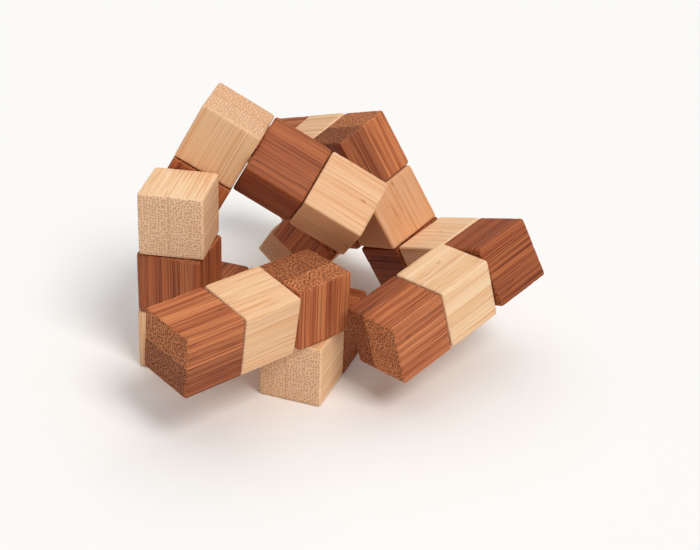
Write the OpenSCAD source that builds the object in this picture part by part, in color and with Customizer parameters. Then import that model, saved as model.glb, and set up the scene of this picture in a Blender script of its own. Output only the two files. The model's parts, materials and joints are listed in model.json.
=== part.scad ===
// Snake puzzle: wooden cubes threaded on one elastic cord.
// Every cube turns on the cord against the next one, so each seam between two
// cubes is a hinge whose axis is the line joining their centres. The chain lies
// half folded: five cubes stand flat as a foot and the two tails rise from it.

/* [Cubes] */
// Side of one cube
cube_side = 15; // [12:0.5:20]
// Gap left between the faces of neighbouring cubes
face_gap = 0.2; // [0.15:0.05:0.3]
// Radius of the eased edges and corners
edge_r = 0.5; // [0.3:0.1:1.2]

/* [Cord] */
// Diameter of the elastic cord
cord_d = 2; // [1.2:0.1:2.6]
// Room between the cord and the wall of its hole
cord_room = 1; // [0.6:0.1:1.4]

/* [Ends of the cord] */
// Wood left in front of the blind hole of an end cube
blind_wall = 4; // [2:0.5:5]
// Length of the knot that holds an end of the cord
knot_len = 4; // [2.5:0.5:5]
// Room between the knot and the wall of its hole
knot_room = 0.1; // [0.05:0.05:0.3]
// Radius of the knot's rounded shoulder
knot_round = 0.6; // [0.3:0.1:0.8]

/* [Pose] */
// Compass heading of the foot's middle cube, along the cord
foot_heading = 160; // [0:5:355]

/* [Hidden] */
// Cubes in each straight run, where the cube at a bend belongs to two runs
runs = [3, 2, 2, 3, 2, 3, 2, 2, 3, 3, 2, 2, 2, 3, 3, 3, 3];
// Turn of every cube after the first about the cord, against the cube before it
turns = [
    93, 172, 152,                       // first tail, rising from the foot
    270, 90, 270, 90,                   // foot, flat on the table
    4, 7, 208,                          // riser
    89, 40, 359, 191, 277,              // arch over the foot
    206, 92, 3, 2, 357,                 // block behind the arch
    3, 177, 356, 89, 343, 359           // second tail
];
cube_count = len(turns) + 1;
base_cube = 6;
pitch = cube_side + face_gap;
hole_d = cord_d + 2 * cord_room;
bend_r = cord_d / 2 + 2 * cord_room;
blind_depth = cube_side - blind_wall;
knot_d = hole_d - 2 * knot_room;
// Turn a cutter or a cord from the Z axis onto the X axis or the Y axis
onto_x = [0, 90, 0];
onto_y = [-90, 0, 0];
overcut = 1;
$fn = 32;

function two_digits(n) = str(n < 10 ? "0" : "", n);
function cube_name(i) = str("cube_", two_digits(i));
function cord_name(i) = str("cord_", two_digits(i));

// Number of the cube that ends the first k + 1 runs
function run_end(k) = k < 0 ? 1 : run_end(k - 1) + runs[k] - 1;
bend_cubes = [for (k = [0 : len(runs) - 2]) run_end(k)];
function is_bend(i) = len([for (b = bend_cubes) if (b == i) b]) > 0;
function is_end(i) = i == 1 || i == cube_count;

// Matrices that turn about X, turn about Z and move along X
function turn_x(a) = [[1, 0, 0, 0], [0, cos(a), -sin(a), 0], [0, sin(a), cos(a), 0], [0, 0, 0, 1]];
function turn_z(a) = [[cos(a), -sin(a), 0, 0], [sin(a), cos(a), 0, 0], [0, 0, 1, 0], [0, 0, 0, 1]];
function move_x(d) = [[1, 0, 0, d], [0, 1, 0, 0], [0, 0, 1, 0], [0, 0, 0, 1]];
function move_z(d) = [[1, 0, 0, 0], [0, 1, 0, 0], [0, 0, 1, d], [0, 0, 0, 1]];

// In a cube's own frame the cord comes in at the -X face. It leaves by the +X
// face, or by the +Y face where the cord bends.
function out_turn(i) = is_bend(i) ? 90 : 0;
function step_on(i) = turn_z(out_turn(i)) * move_x(pitch) * turn_x(turns[i - 1]);
function step_back(i) = turn_x(-turns[i - 1]) * move_x(-pitch) * turn_z(-out_turn(i));
base_frame = move_z(cube_side / 2) * turn_z(foot_heading) * turn_x(90);
function frame(i) =
    i == base_cube ? base_frame :
    i > base_cube ? frame(i - 1) * step_on(i - 1) :
    frame(i + 1) * step_back(i);

// One cube, with every edge and corner eased, centred on the origin
module eased_square() {
    flat = cube_side - 2 * edge_r;
    square([cube_side, flat], center = true);
    square([flat, cube_side], center = true);
    for (x = [-1, 1], y = [-1, 1])
        translate([x * flat / 2, y * flat / 2])
            circle(edge_r);
}

module eased_cube() {
    intersection() {
        linear_extrude(cube_side, center = true) eased_square();
        rotate(onto_y) linear_extrude(cube_side, center = true) eased_square();
        rotate(onto_x) linear_extrude(cube_side, center = true) eased_square();
    }
}

// Straight hole right through, two holes that meet, or a blind hole
module cord_hole(i) {
    if (i == 1) {
        translate([blind_wall - cube_side / 2, 0, 0])
            rotate(onto_x)
                cylinder(h = blind_depth + overcut, d = hole_d);
    }
    else if (i == cube_count) {
        translate([cube_side / 2 - blind_wall, 0, 0])
            rotate(-onto_x)
                cylinder(h = blind_depth + overcut, d = hole_d);
    }
    else if (is_bend(i)) {
        rotate(-onto_x) cylinder(h = cube_side / 2 + overcut, d = hole_d);
        rotate(onto_y) cylinder(h = cube_side / 2 + overcut, d = hole_d);
        sphere(d = hole_d);
    }
    else {
        rotate(onto_x)
            cylinder(h = cube_side + 2 * overcut, d = hole_d, center = true);
    }
}

module wooden_cube(i) {
    color(i % 2 == 1 ? "saddlebrown" : "burlywood")
        multmatrix(frame(i))
            difference() {
                eased_cube();
                cord_hole(i);
            }
}

// The cord inside one cube, cut off half way across the gap at each seam
module straight_cord(from_x, to_x) {
    translate([from_x, 0, 0])
        rotate(onto_x)
            cylinder(h = to_x - from_x, d = cord_d);
}

module bent_cord() {
    straight_cord(-pitch / 2, -bend_r);
    translate([-bend_r, bend_r, 0])
        rotate([0, 0, -90])
            rotate_extrude(angle = 90)
                translate([bend_r, 0])
                    circle(d = cord_d);
    translate([0, bend_r, 0])
        rotate(onto_y)
            cylinder(h = pitch / 2 - bend_r, d = cord_d);
}

module cord_stretch(i) {
    knot_face = cube_side / 2 - blind_wall - knot_len;
    color("dimgray")
        multmatrix(frame(i)) {
            if (i == 1) straight_cord(-knot_face, pitch / 2);
            else if (i == cube_count) straight_cord(-pitch / 2, knot_face);
            else if (is_bend(i)) bent_cord();
            else straight_cord(-pitch / 2, pitch / 2);
        }
}

// The knot at the bottom of a blind hole: a barrel with rounded shoulders
module knot() {
    straight = knot_len - 2 * knot_round;
    rotate_extrude() {
        translate([0, knot_round]) square([knot_d / 2, straight]);
        square([knot_d / 2 - knot_round, knot_len]);
        intersection() {
            square([knot_d, knot_len]);
            for (z = [knot_round, knot_len - knot_round])
                translate([knot_d / 2 - knot_round, z])
                    circle(knot_round);
        }
    }
}

module knot_start() {
    color("darkslategray")
        multmatrix(frame(1))
            translate([blind_wall - cube_side / 2, 0, 0])
                rotate(onto_x) knot();
}

module knot_end() {
    color("darkslategray")
        multmatrix(frame(cube_count))
            translate([cube_side / 2 - blind_wall, 0, 0])
                rotate(-onto_x) knot();
}

for (i = [1 : cube_count]) {
    wooden_cube(i);
    cord_stretch(i);
}
knot_start();
knot_end();
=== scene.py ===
"""Snake puzzle: bamboo blocks strung on one elastic cord, half folded on a pale table.

Each CAD cube is replaced by a block with worn, eased edges and a real hole for the cord.
Every block carries its own bench coordinates, so one dark and one light bamboo material
give each block its grain, its end grain and its glue line the right way round.
"""

import json
import math
import random

import bpy
from mathutils import Matrix, Vector, noise


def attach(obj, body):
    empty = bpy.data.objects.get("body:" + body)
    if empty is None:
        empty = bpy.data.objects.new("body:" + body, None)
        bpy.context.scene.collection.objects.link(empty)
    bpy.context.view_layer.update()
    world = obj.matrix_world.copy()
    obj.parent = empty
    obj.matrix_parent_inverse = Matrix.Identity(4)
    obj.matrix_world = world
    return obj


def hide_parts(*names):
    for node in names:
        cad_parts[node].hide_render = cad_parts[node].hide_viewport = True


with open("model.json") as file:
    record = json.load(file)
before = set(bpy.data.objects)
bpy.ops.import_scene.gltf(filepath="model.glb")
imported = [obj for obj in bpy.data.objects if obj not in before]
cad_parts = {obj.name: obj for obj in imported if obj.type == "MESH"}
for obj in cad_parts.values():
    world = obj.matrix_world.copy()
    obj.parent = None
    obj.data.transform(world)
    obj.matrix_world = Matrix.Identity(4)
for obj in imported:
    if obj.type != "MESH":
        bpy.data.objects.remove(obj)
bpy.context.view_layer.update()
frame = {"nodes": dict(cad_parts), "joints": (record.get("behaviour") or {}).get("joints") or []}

MM = 0.001
X_AXIS, Y_AXIS, Z_AXIS = Vector((1, 0, 0)), Vector((0, 1, 0)), Vector((0, 0, 1))
BLOCK_COUNT = 27
EDGE_RADIUS = 0.5 * MM
HOLE_DIAMETER = 4.0 * MM
HOLE_FACETS = 32
DRILL_SPARE = 1.0 * MM
BLIND_WALL = 4.0 * MM
FACE_CUTS = 15
BEVEL_STEPS = 3
SHARP_DEGREES = 60
SMOOTH_DEGREES = 40
# Two unit directions are square to each other when their dot product is below this
SQUARE_LIMIT = 0.1
WEAR_DEPTH = 0.07 * MM
WEAR_REACH = 1.1 * MM
WEAR_PITCH = 2.6 * MM
CORNER_WEAR = 1.4
CHIP_WEAR = 6.0
CHIP_START = 0.3
CHIP_PITCH = 0.4 * WEAR_PITCH
# How far apart two blocks' wear lies in the noise, for each unit of the seed
WEAR_STRIDE = (7.3, 3.1, 5.7)

# Bends whose grain runs along the cord as it comes in, not as it goes out. On all other
# bends it runs along the cord as it goes out.
GRAIN_ALONG_CORD_IN = (12, 14)
# Blocks whose glue line lies the other way from the usual
GLUE_TURNED = (1, 5, 11, 14, 19, 24)
# Where a block's glue line lies, in millimetres off its middle
GLUE_PLACES = {1: 0.0, 3: -1.2, 10: 0.3, 13: 2.2, 21: 0.0, 27: 2.3}
# How much darker one strip is than the other: above zero, the strip beyond the glue line is
# the darker one, and below zero, the other one
DARKER_STRIPS = {1: -0.7, 2: -0.15, 3: 0.5, 10: 0.1, 13: 0.3, 21: -0.85, 27: 0.85}
# How deep the colour of a block's wood is, from 0 for the palest of its kind to 1. Block 23's full
# depth is partly painted shade, darkening it towards the deep shadow it sits in
WOOD_DEPTHS_AND_SHADE = {
    1: 0.2, 3: 0.2, 5: 0.6, 7: 0.5, 9: 0.4, 11: 0.6, 13: 0.75,
    21: 0.05, 23: 1.0, 25: 0.9, 27: 0.15,
    2: 0.4, 4: 0.2, 10: 0.0, 12: 0.4, 14: 0.7, 20: 0.1, 22: 1.0, 24: 0.0, 26: 0.0,
}
# Ranges that the look of every other block is drawn from
SEED_RANGE = (0, 40)
GLUE_RANGE = (-1.2, 1.2)
STRIP_RANGE = (-0.45, 0.45)
DEPTH_RANGE = (0.1, 0.7)


# ---------------------------------------------------------------- camera

CAMERA_PLACE = (13.9 * MM, -312.8 * MM, 186.6 * MM)
CAMERA_AZIMUTH = 1.06
CAMERA_DOWN = 28.24
CAMERA_ROLL = 2.24
LENS_MM = 77.1
SENSOR_MM = 36.0


def add_camera():
    data = bpy.data.cameras.new("camera")
    data.lens = LENS_MM
    data.sensor_width = SENSOR_MM
    data.clip_start = 0.01
    data.clip_end = 20.0
    camera = bpy.data.objects.new("camera", data)
    bpy.context.scene.collection.objects.link(camera)
    heading = Matrix.Rotation(math.radians(-CAMERA_AZIMUTH), 4, "Z")
    pitch = Matrix.Rotation(math.radians(90 - CAMERA_DOWN), 4, "X")
    roll = Matrix.Rotation(math.radians(CAMERA_ROLL), 4, "Z")
    camera.matrix_world = Matrix.Translation(CAMERA_PLACE) @ heading @ pitch @ roll
    bpy.context.scene.camera = camera


add_camera()


# ---------------------------------------------------------------- where each block lies

def block_name(number):
    return f"cube_{number:02d}"


def seam_place(number):
    """Middle of the seam between a block and the next one."""
    for joint in frame["joints"]:
        if joint["name"] == f"twist_{number:02d}_{number + 1:02d}":
            return Vector(joint["pos_m"])
    raise ValueError(f"no seam after block {number}")


def flat_directions(mesh):
    """The directions that a CAD cube's six flats face, the largest flats first."""
    areas = {}
    for face in mesh.polygons:
        key = tuple(round(value, 2) for value in face.normal)
        total, area = areas.get(key, (Vector((0, 0, 0)), 0.0))
        areas[key] = (total + face.normal * face.area, area + face.area)
    largest = sorted(areas.values(), key=lambda entry: -entry[1])[:6]
    return [entry[0].normalized() for entry in largest]


def block_frame(number):
    """A block's centre, the cord's direction in, the direction across it, its side and whether
    the cord bends. The direction across is the cord's way out on a bend, or else the flat
    nearest to up."""
    mesh = frame["nodes"][block_name(number)].data
    flats = flat_directions(mesh)
    first = flats[0]
    second = next(flat for flat in flats if abs(flat.dot(first)) < SQUARE_LIMIT)
    third = first.cross(second)
    centre = Vector((0, 0, 0))
    side = 0.0
    for axis in (first, second, third):
        reach = [axis.dot(vertex.co) for vertex in mesh.vertices]
        centre += axis * (max(reach) + min(reach)) / 2
        side = max(side, max(reach) - min(reach))
    cord_in = (centre - seam_place(number - 1)).normalized() if number > 1 else None
    cord_out = (seam_place(number) - centre).normalized() if number < BLOCK_COUNT else None
    cord_in = cord_in or cord_out
    cord_out = cord_out or cord_in
    bends = abs(cord_in.dot(cord_out)) < SQUARE_LIMIT
    if bends:
        across = cord_out
    else:
        sides = [flat for flat in flats if abs(flat.dot(cord_in)) < SQUARE_LIMIT]
        across = max(sides, key=lambda flat: flat.z)
    return centre, cord_in, across, side, bends


# ---------------------------------------------------------------- blocks

def deselect():
    if bpy.context.object and bpy.context.object.mode != "OBJECT":
        bpy.ops.object.mode_set(mode="OBJECT")
    bpy.ops.object.select_all(action="DESELECT")


def cut_hole(block, start, direction, length):
    """Bores a round hole from start along a direction."""
    deselect()
    turn = direction.to_track_quat("Z", "Y").to_euler()
    bpy.ops.mesh.primitive_cylinder_add(
        vertices=HOLE_FACETS,
        radius=HOLE_DIAMETER / 2,
        depth=length,
        location=start + direction * length / 2,
        rotation=turn,
    )
    drill = bpy.context.object
    deselect()
    block.select_set(True)
    bpy.context.view_layer.objects.active = block
    cut = block.modifiers.new("hole", "BOOLEAN")
    cut.operation = "DIFFERENCE"
    cut.solver = "EXACT"
    cut.object = drill
    bpy.ops.object.modifier_apply(modifier=cut.name)
    bpy.data.objects.remove(drill, do_unlink=True)


def model_block(kind, side):
    """One block at the origin: the cord comes in at -X, and goes out at +X, or at +Y on a bend,
    or stops short of +X in an end block."""
    deselect()
    bpy.ops.mesh.primitive_cube_add(size=side)
    block = bpy.context.object
    block.name = f"pattern_{kind}"
    bpy.ops.object.mode_set(mode="EDIT")
    bpy.ops.mesh.select_all(action="SELECT")
    bpy.ops.mesh.subdivide(number_cuts=FACE_CUTS)
    bpy.ops.mesh.select_all(action="DESELECT")
    bpy.ops.mesh.select_mode(type="EDGE")
    bpy.ops.mesh.edges_select_sharp(sharpness=math.radians(SHARP_DEGREES))
    bpy.ops.mesh.bevel(offset=EDGE_RADIUS, segments=BEVEL_STEPS, profile=0.5, affect="EDGES")
    bpy.ops.object.mode_set(mode="OBJECT")
    reach = side / 2 + DRILL_SPARE
    if kind == "straight":
        cut_hole(block, -X_AXIS * reach, X_AXIS, 2 * reach)
    elif kind == "bend":
        cut_hole(block, -X_AXIS * reach, X_AXIS, reach + HOLE_DIAMETER / 2)
        cut_hole(block, Y_AXIS * reach, -Y_AXIS, reach + HOLE_DIAMETER / 2)
    else:
        cut_hole(block, -X_AXIS * reach, X_AXIS, reach + side / 2 - BLIND_WALL)
    bpy.ops.object.shade_smooth_by_angle(angle=math.radians(SMOOTH_DEGREES))
    return block


def wear_edges(mesh, side, seed):
    """Rubs the edges and corners back a little, more in some places than in others."""
    inner = side / 2 - WEAR_REACH
    shift = Vector([seed * stride for stride in WEAR_STRIDE])
    for vertex in mesh.vertices:
        reach = sorted(abs(value) for value in vertex.co)
        on_edge = max(0.0, (reach[1] - inner) / WEAR_REACH)
        on_corner = max(0.0, (reach[0] - inner) / WEAR_REACH)
        if on_edge <= 0.0:
            continue
        # The noise runs from -1 to 1, and the rub from 0 to 1
        rub = 0.5 + 0.5 * noise.noise(vertex.co / WEAR_PITCH + shift)
        chip = max(0.0, noise.noise(vertex.co / CHIP_PITCH - shift) - CHIP_START)
        depth = WEAR_DEPTH * (on_edge * rub + on_corner * CORNER_WEAR + on_edge * chip * CHIP_WEAR)
        inward = Vector([
            -math.copysign(1, value) if abs(value) > inner else 0 for value in vertex.co
        ])
        vertex.co += inward.normalized() * depth


def grain_axes(number, bends):
    """Along the grain, across it and square to the glue line, in the pattern block's axes."""
    along = Y_AXIS if bends and number not in GRAIN_ALONG_CORD_IN else X_AXIS
    other = X_AXIS if along == Y_AXIS else Y_AXIS
    if number in GLUE_TURNED:
        return along, Z_AXIS, other
    return along, other, Z_AXIS


def add_block_data(mesh, number, axes):
    """Stores each point's place along the grain's axes, in millimetres, and the block's look."""
    # Every block draws all four values, so that a set value leaves the others as they are
    draw = random.Random(number)
    seed = draw.uniform(*SEED_RANGE)
    glue_place = GLUE_PLACES.get(number, draw.uniform(*GLUE_RANGE))
    darker_strip = DARKER_STRIPS.get(number, draw.uniform(*STRIP_RANGE))
    # On block 23 the wood depth is partly painted shade as well as the wood's own tone
    wood_depth_and_shade = WOOD_DEPTHS_AND_SHADE.get(number, draw.uniform(*DEPTH_RANGE))
    places = [axis.dot(vertex.co) / MM for vertex in mesh.vertices for axis in axes]
    count = len(mesh.vertices)
    columns = (
        ("bench_place", "FLOAT_VECTOR", "vector", places),
        ("block_look", "FLOAT_VECTOR", "vector", [seed, glue_place, darker_strip] * count),
        ("wood_depth_and_shade", "FLOAT", "value", [wood_depth_and_shade] * count),
    )
    # All are added before any is filled, because adding one moves the others in memory
    for name, kind, _, _ in columns:
        mesh.attributes.new(name, kind, "POINT")
    for name, _, field, values in columns:
        mesh.attributes[name].data.foreach_set(field, values)


def make_blocks(finishes):
    """Makes the blocks from one pattern of each kind, each in the place of its CAD cube."""
    patterns = {}
    for number in range(1, BLOCK_COUNT + 1):
        centre, cord_in, across, side, bends = block_frame(number)
        kind = "end" if number in (1, BLOCK_COUNT) else "bend" if bends else "straight"
        if kind not in patterns:
            patterns[kind] = model_block(kind, side)
        if number == 1:
            # The pattern's blind hole opens at -X, and this block's opens towards the next block
            cord_in = -cord_in
        mesh = patterns[kind].data.copy()
        add_block_data(mesh, number, grain_axes(number, bends))
        wear_edges(mesh, side, number)
        place = Matrix.Identity(4)
        for column, axis in enumerate((cord_in, across, cord_in.cross(across))):
            for row in range(3):
                place[row][column] = axis[row]
        place.translation = centre
        mesh.transform(place)
        tone = "dark_bamboo" if number % 2 else "light_bamboo"
        mesh.materials.clear()
        mesh.materials.append(finishes[tone])
        name = f"block_{number:02d}"
        mesh.name = name
        block = bpy.data.objects.new(name, mesh)
        bpy.context.scene.collection.objects.link(block)
        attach(block, f"link_{number:02d}")
        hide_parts(block_name(number))
    for pattern in patterns.values():
        bpy.data.objects.remove(pattern, do_unlink=True)


# ---------------------------------------------------------------- materials

# The structure works in millimetres
HALF_SIDE_MM = 7.5
BUNDLES_PER_MM = 1.5
BUNDLE_SCATTER = 0.6
STRIP_SEED_STEP = 13.7
DRIFT_PER_MM = 0.05
# How strongly the parts of the structure show on both tones of wood
END_BANDS = 0.6
FIBRE_RELIEF = 0.8
DOT_RELIEF = -0.6
GLUE_RELIEF = -0.6
BUMP_STRENGTH = 0.35
BUMP_DISTANCE = 0.12 * MM
END_GRAIN_ROUGHNESS = 0.18
FIBRE_ROUGHNESS = 0.12
WOOD_SPECULAR = 0.25
# The cord's braid
BRAID_TURN = 0.785
BRAID_TILT = 0.4
BRAID_SCALE = 900.0
BRAID_DISTORTION = 0.4
BRAID_BUMP_STRENGTH = 0.5
BRAID_BUMP_DISTANCE = 0.1 * MM
BRAID_SMOOTHING = -0.15
CORD_ROUGHNESS = 0.8


def paint(red, green, blue):
    """A colour given as 0 to 255 screen values."""
    def linear(value):
        value = value / 255
        return value / 12.92 if value <= 0.04045 else ((value + 0.055) / 1.055) ** 2.4
    return (linear(red), linear(green), linear(blue), 1.0)


def add_node(tree, kind, inputs=None, **settings):
    """Adds a node, sets its settings, and links or sets its inputs."""
    node = tree.nodes.new(kind)
    for name, value in settings.items():
        setattr(node, name, value)
    for name, value in (inputs or {}).items():
        if isinstance(value, bpy.types.NodeSocket):
            tree.links.new(value, node.inputs[name])
        else:
            node.inputs[name].default_value = value
    return node


def maths(tree, operation, first, second=0.0, third=0.0, clamp=False):
    node = add_node(tree, "ShaderNodeMath", {0: first, 1: second, 2: third}, operation=operation)
    node.use_clamp = clamp
    return node.outputs[0]


def smooth_step(tree, value, low, high, to_low=0.0, to_high=1.0):
    """Nothing below low, one above high, and smooth between, unless other ends are given."""
    inputs = {
        "Value": value, "From Min": low, "From Max": high, "To Min": to_low, "To Max": to_high,
    }
    node = add_node(tree, "ShaderNodeMapRange", inputs, interpolation_type="SMOOTHSTEP")
    return node.outputs["Result"]


def fade_out(tree, value, low, high):
    """One below low, nothing above high, and smooth between."""
    return smooth_step(tree, value, low, high, to_low=1.0, to_high=0.0)


def blend_colour(tree, factor, first, second, mode="MIX"):
    """Blends two colours. The sockets are 0 for the factor, 6 and 7 for the colours, 2 out."""
    node = add_node(tree, "ShaderNodeMix", data_type="RGBA", blend_type=mode)
    for index, value in ((0, factor), (6, first), (7, second)):
        if isinstance(value, bpy.types.NodeSocket):
            tree.links.new(value, node.inputs[index])
        else:
            node.inputs[index].default_value = value
    return node.outputs[2]


def new_group(name, inputs, outputs):
    """A shader node group with named sockets, given as (name, kind, value)."""
    group = bpy.data.node_groups.new(name, "ShaderNodeTree")
    for socket_name, kind, value in inputs:
        socket = group.interface.new_socket(name=socket_name, in_out="INPUT", socket_type=kind)
        if value is not None:
            socket.default_value = value
    for socket_name, kind in outputs:
        group.interface.new_socket(name=socket_name, in_out="OUTPUT", socket_type=kind)
    start = group.nodes.new("NodeGroupInput")
    end = group.nodes.new("NodeGroupOutput")
    return group, start, end


FLOAT, VECTOR = "NodeSocketFloat", "NodeSocketVector"
STRUCTURE_PARTS = (
    "Bundles", "Streaks", "Lines", "Fibres", "Bands", "End grain", "Glue line", "Strip tone",
    "Edge", "Scars",
)


def bamboo_structure():
    """The solid structure of a block: two strips, their fibre bundles, streaks and glue line."""
    inputs = [("Place", VECTOR, None), ("Look", VECTOR, None), ("Half side", FLOAT, HALF_SIDE_MM)]
    outputs = [(name, FLOAT) for name in STRUCTURE_PARTS]
    group, start, end = new_group("bamboo structure", inputs, outputs)
    place, look, half = start.outputs[0], start.outputs[1], start.outputs[2]
    split = add_node(group, "ShaderNodeSeparateXYZ", {0: place}).outputs
    along, across, depth = split[0], split[1], split[2]
    split = add_node(group, "ShaderNodeSeparateXYZ", {0: look}).outputs
    seed, glue_place, darker_strip = split[0], split[1], split[2]

    # Two strips, one on each side of the glue line
    glue_depth = maths(group, "SUBTRACT", depth, glue_place)
    beyond = maths(group, "GREATER_THAN", glue_depth, 0.0)
    strip_seed = maths(group, "MULTIPLY_ADD", beyond, STRIP_SEED_STEP, seed)
    glue = fade_out(group, maths(group, "ABSOLUTE", glue_depth), low=0.04, high=0.13)
    which_side = maths(group, "MULTIPLY_ADD", beyond, 2.0, -1.0)
    strip_tone = maths(group, "MULTIPLY", which_side, darker_strip, clamp=True)

    # The fibres run nearly straight, with a slow drift along their length
    drift_place = add_node(
        group, "ShaderNodeCombineXYZ",
        {0: maths(group, "MULTIPLY", along, DRIFT_PER_MM), 1: strip_seed},
    )
    drift = add_node(
        group, "ShaderNodeTexNoise",
        {"Vector": drift_place.outputs[0], "Scale": 1.0, "Detail": 1.0},
    )
    lean = maths(group, "SUBTRACT", drift.outputs["Fac"], 0.5)
    across_drift = maths(group, "ADD", across, lean)

    def grain_space(along_scale, cross_scale, offset):
        cross_seed = maths(group, "ADD", strip_seed, offset)
        parts = {
            0: maths(group, "MULTIPLY_ADD", along, along_scale, strip_seed),
            1: maths(group, "MULTIPLY_ADD", across_drift, cross_scale, cross_seed),
            2: maths(group, "MULTIPLY", glue_depth, cross_scale),
        }
        return add_node(group, "ShaderNodeCombineXYZ", parts).outputs[0]

    def grain_noise(along_scale, cross_scale, offset, detail, roughness=0.5):
        space = grain_space(along_scale, cross_scale, offset)
        inputs = {"Vector": space, "Scale": 1.0, "Detail": detail, "Roughness": roughness}
        return add_node(group, "ShaderNodeTexNoise", inputs).outputs["Fac"]

    # Bundles of fibre run from end to end: dots on a sawn end, lines along a side
    bundle_place = add_node(
        group, "ShaderNodeCombineXYZ",
        {0: maths(group, "MULTIPLY_ADD", across_drift, BUNDLES_PER_MM, strip_seed),
         1: maths(group, "MULTIPLY_ADD", glue_depth, BUNDLES_PER_MM, seed)},
    )
    bundle_cells = add_node(
        group, "ShaderNodeTexVoronoi",
        {"Vector": bundle_place.outputs[0], "Scale": 1.0, "Randomness": BUNDLE_SCATTER},
        feature="F1", voronoi_dimensions="2D",
    )
    streak_noise = grain_noise(
        along_scale=0.012, cross_scale=0.85, offset=4.0, detail=3.0, roughness=0.65)
    line_noise = grain_noise(along_scale=0.020, cross_scale=3.0, offset=14.0, detail=2.0)
    fibres = grain_noise(along_scale=0.10, cross_scale=7.0, offset=9.0, detail=2.0, roughness=0.6)
    band_noise = grain_noise(along_scale=0.010, cross_scale=0.30, offset=21.0, detail=1.5)

    # Sawn ends, eased edges and a few leaf scars
    sizes = [maths(group, "ABSOLUTE", value) for value in (along, across, depth)]
    # The middle one of the three distances from the block's centre is large only near an edge
    low = maths(group, "MINIMUM", sizes[0], sizes[1])
    high = maths(group, "MAXIMUM", sizes[0], sizes[1])
    middle = maths(group, "MAXIMUM", low, maths(group, "MINIMUM", high, sizes[2]))
    from_end = maths(group, "SUBTRACT", half, sizes[0])
    from_edge = maths(group, "SUBTRACT", half, middle)
    scar_cells = add_node(
        group, "ShaderNodeTexVoronoi",
        {"Vector": grain_space(along_scale=0.10, cross_scale=0.22, offset=33.0), "Scale": 1.0,
         "Randomness": 1.0},
        feature="F1", voronoi_dimensions="3D",
    )

    parts = {
        "Bundles": bundle_cells.outputs["Distance"],
        "Streaks": smooth_step(group, streak_noise, low=0.46, high=0.62),
        "Lines": smooth_step(group, line_noise, low=0.53, high=0.62),
        "Fibres": fibres,
        "Bands": smooth_step(group, band_noise, low=0.34, high=0.66),
        "End grain": fade_out(group, from_end, low=0.03, high=0.22),
        "Glue line": glue,
        "Strip tone": strip_tone,
        "Edge": fade_out(group, from_edge, low=0.05, high=0.5),
        "Scars": fade_out(group, scar_cells.outputs["Distance"], low=0.05, high=0.10),
    }
    for name in STRUCTURE_PARTS:
        group.links.new(parts[name], end.inputs[name])
    return group


def new_material(name):
    material = bpy.data.materials.new(name)
    material.use_nodes = True
    material.node_tree.nodes.clear()
    return material


def add_surface(tree, colour, roughness, bump):
    """A principled surface with the material's output."""
    inputs = {"Base Color": colour, "Roughness": roughness, "Normal": bump.outputs["Normal"]}
    shader = add_node(tree, "ShaderNodeBsdfPrincipled", inputs)
    output = add_node(tree, "ShaderNodeOutputMaterial")
    tree.links.new(shader.outputs[0], output.inputs[0])
    return shader


def bamboo(name, structure, colours, amounts):
    """A bamboo finish: colours by part of the structure, and how strongly each part shows."""
    material = new_material(name)
    tree = material.node_tree
    place = add_node(tree, "ShaderNodeAttribute", attribute_name="bench_place").outputs["Vector"]
    look = add_node(tree, "ShaderNodeAttribute", attribute_name="block_look").outputs["Vector"]
    wood_depth_and_shade = add_node(tree, "ShaderNodeAttribute", attribute_name="wood_depth_and_shade").outputs["Fac"]
    parts = add_node(tree, "ShaderNodeGroup", node_tree=structure)
    tree.links.new(place, parts.inputs["Place"])
    tree.links.new(look, parts.inputs["Look"])
    part = parts.outputs

    def lay_over(under, mask, amount, over):
        """Lays one colour over another where a mask shows, by an amount."""
        return blend_colour(tree, maths(tree, "MULTIPLY", mask, amount), under, over)

    long_side = colours["ground"]
    for mask, amount, over in (
        (part["Bands"], "bands", "band"),
        (part["Streaks"], "streaks", "streak"),
        (smooth_step(tree, part["Fibres"], low=0.4, high=0.7), "fibres", "fibre"),
        (part["Lines"], "lines", "line"),
        (fade_out(tree, part["Bundles"], low=0.10, high=0.34), "bundles", "line"),
        (part["Scars"], "scars", "scar"),
    ):
        long_side = lay_over(long_side, mask, amounts[amount], colours[over])

    dots = fade_out(tree, part["Bundles"], amounts["dot_heart"], amounts["dot_rim"])
    end_side = lay_over(colours["end_ground"], part["Bands"], END_BANDS, colours["end_band"])
    end_side = lay_over(end_side, dots, amounts["dots"], colours["end_dot"])

    colour = blend_colour(tree, part["End grain"], long_side, end_side)
    colour = lay_over(colour, part["Edge"], amounts["edge"], colours["edge"])
    colour = lay_over(colour, part["Glue line"], amounts["glue"], colours["glue"])
    # Darkens by the wood's depth, which on block 23 is partly painted shade
    colour = blend_colour(tree, wood_depth_and_shade, colour, colours["deep_tint"], mode="MULTIPLY")
    colour = blend_colour(tree, part["Strip tone"], colour, colours["strip_tint"], mode="MULTIPLY")

    relief = maths(tree, "MULTIPLY", dots, DOT_RELIEF)
    relief = maths(tree, "MULTIPLY_ADD", part["Fibres"], FIBRE_RELIEF, relief)
    relief = maths(tree, "MULTIPLY_ADD", part["Glue line"], GLUE_RELIEF, relief)
    bump = add_node(
        tree, "ShaderNodeBump",
        {"Strength": BUMP_STRENGTH, "Distance": BUMP_DISTANCE, "Height": relief},
    )
    rough = maths(
        tree, "MULTIPLY_ADD", part["End grain"], END_GRAIN_ROUGHNESS, amounts["roughness"])
    rough = maths(tree, "MULTIPLY_ADD", part["Fibres"], FIBRE_ROUGHNESS, rough)
    shader = add_surface(tree, colour, rough, bump)
    shader.inputs["Specular IOR Level"].default_value = WOOD_SPECULAR
    return material


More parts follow.
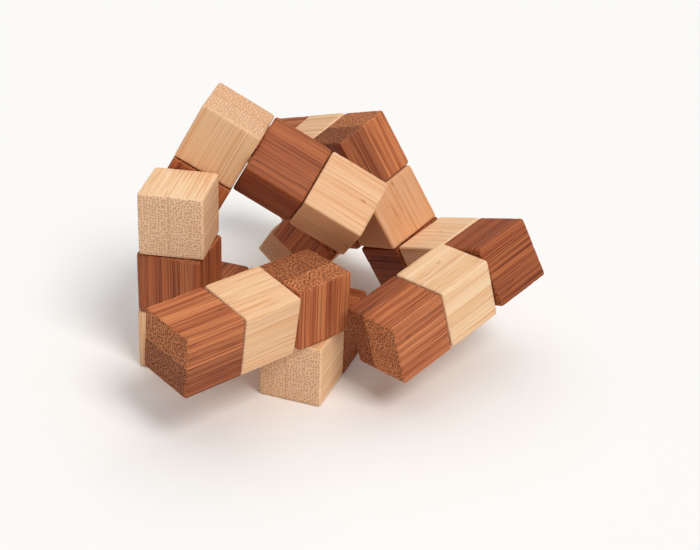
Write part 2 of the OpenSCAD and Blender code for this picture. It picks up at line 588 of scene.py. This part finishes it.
def braided_elastic():
    """Dark elastic with a fine crossed braid."""
    material = new_material("braided elastic")
    tree = material.node_tree
    place = add_node(tree, "ShaderNodeTexCoord").outputs["Object"]
    crossed = []
    for turn in (BRAID_TURN, -BRAID_TURN):
        turned = add_node(
            tree, "ShaderNodeMapping", {"Vector": place, "Rotation": (turn, turn, BRAID_TILT)})
        wave = add_node(
            tree, "ShaderNodeTexWave",
            {"Vector": turned.outputs[0], "Scale": BRAID_SCALE, "Distortion": BRAID_DISTORTION},
        )
        crossed.append(wave.outputs["Fac"])
    braid = maths(tree, "MAXIMUM", crossed[0], crossed[1])
    colour = blend_colour(tree, braid, paint(22, 22, 24), paint(62, 60, 60))
    bump = add_node(
        tree, "ShaderNodeBump",
        {"Strength": BRAID_BUMP_STRENGTH, "Distance": BRAID_BUMP_DISTANCE, "Height": braid},
    )
    rough = maths(tree, "MULTIPLY_ADD", braid, BRAID_SMOOTHING, CORD_ROUGHNESS)
    add_surface(tree, colour, rough, bump)
    return material


def finish_cord():
    elastic = braided_elastic()
    names = [f"cord_{number:02d}" for number in range(1, BLOCK_COUNT + 1)]
    for name in names + ["knot_start", "knot_end"]:
        mesh = frame["nodes"][name].data
        mesh.materials.clear()
        mesh.materials.append(elastic)


structure = bamboo_structure()
finishes = {
    "dark_bamboo": bamboo(
        "dark bamboo", structure,
        {
            "ground": paint(218, 138, 88), "band": paint(200, 114, 68),
            "streak": paint(158, 76, 42), "fibre": paint(228, 150, 98),
            "line": paint(112, 46, 26), "scar": paint(90, 44, 28),
            "end_ground": paint(216, 138, 88), "end_band": paint(194, 116, 72),
            "end_dot": paint(74, 34, 22), "edge": paint(204, 124, 78), "glue": paint(100, 44, 26),
            "deep_tint": (0.62, 0.48, 0.40, 1.0), "strip_tint": (0.50, 0.42, 0.42, 1.0),
        },
        {
            "bands": 0.8, "streaks": 0.70, "fibres": 0.22, "lines": 0.65, "bundles": 0.3,
            "scars": 0.4, "dots": 0.88, "dot_heart": 0.18, "dot_rim": 0.48, "edge": 0.3,
            "glue": 0.6, "roughness": 0.55,
        },
    ),
    "light_bamboo": bamboo(
        "light bamboo", structure,
        {
            "ground": paint(249, 215, 176), "band": paint(243, 202, 160),
            "streak": paint(240, 192, 144), "fibre": paint(255, 230, 190),
            "line": paint(222, 158, 104), "scar": paint(184, 116, 64),
            "end_ground": paint(243, 204, 166), "end_band": paint(236, 194, 156),
            "end_dot": paint(186, 132, 98), "edge": paint(255, 226, 184),
            "glue": paint(196, 138, 92),
            "deep_tint": (0.88, 0.70, 0.60, 1.0), "strip_tint": (0.90, 0.80, 0.72, 1.0),
        },
        {
            "bands": 0.8, "streaks": 0.7, "fibres": 0.22, "lines": 0.65, "bundles": 0.2,
            "scars": 0.5, "dots": 0.75, "dot_heart": 0.14, "dot_rim": 0.42, "edge": 0.35,
            "glue": 0.55, "roughness": 0.55,
        },
    ),
}
make_blocks(finishes)
finish_cord()


# ---------------------------------------------------------------- studio

TABLE_SIZE = 6.0
# The table lies this far below the part, so that no two faces share a plane
TABLE_DROP = 0.05 * MM
WHITE = (1.0, 1.0, 1.0, 1.0)
AIR_STRENGTH = 0.25
TABLE_ROUGHNESS = 0.8


def add_soft_sun(name, towards, width, strength, colour):
    """A far-off light from a direction, as wide as its angle in degrees, so that the table is
    lit alike all over."""
    data = bpy.data.lights.new(name, "SUN")
    data.angle = math.radians(width)
    data.energy = strength
    data.color = colour
    lamp = bpy.data.objects.new(name, data)
    bpy.context.scene.collection.objects.link(lamp)
    lamp.rotation_euler = Vector(towards).to_track_quat("Z", "Y").to_euler()


def add_studio():
    deselect()
    bpy.ops.mesh.primitive_plane_add(size=TABLE_SIZE, location=(0, 0, -TABLE_DROP))
    floor = bpy.context.object
    floor.name = "table"
    material = bpy.data.materials.new("pale table")
    material.use_nodes = True
    shader = material.node_tree.nodes["Principled BSDF"]
    shader.inputs["Base Color"].default_value = paint(250, 249, 247)
    shader.inputs["Roughness"].default_value = TABLE_ROUGHNESS
    floor.data.materials.append(material)

    add_soft_sun("key", (0.45, -0.60, 0.95), width=24.0, strength=1.75, colour=(1.0, 0.993, 0.98))
    add_soft_sun("top", (-0.10, 0.25, 1.0), width=80.0, strength=1.10, colour=WHITE[:3])
    world = bpy.data.worlds.new("studio air")
    bpy.context.scene.world = world
    world.use_nodes = True
    air = world.node_tree.nodes["Background"]
    air.inputs["Color"].default_value = WHITE
    air.inputs["Strength"].default_value = AIR_STRENGTH
    bpy.context.scene.view_settings.view_transform = "Standard"


add_studio()
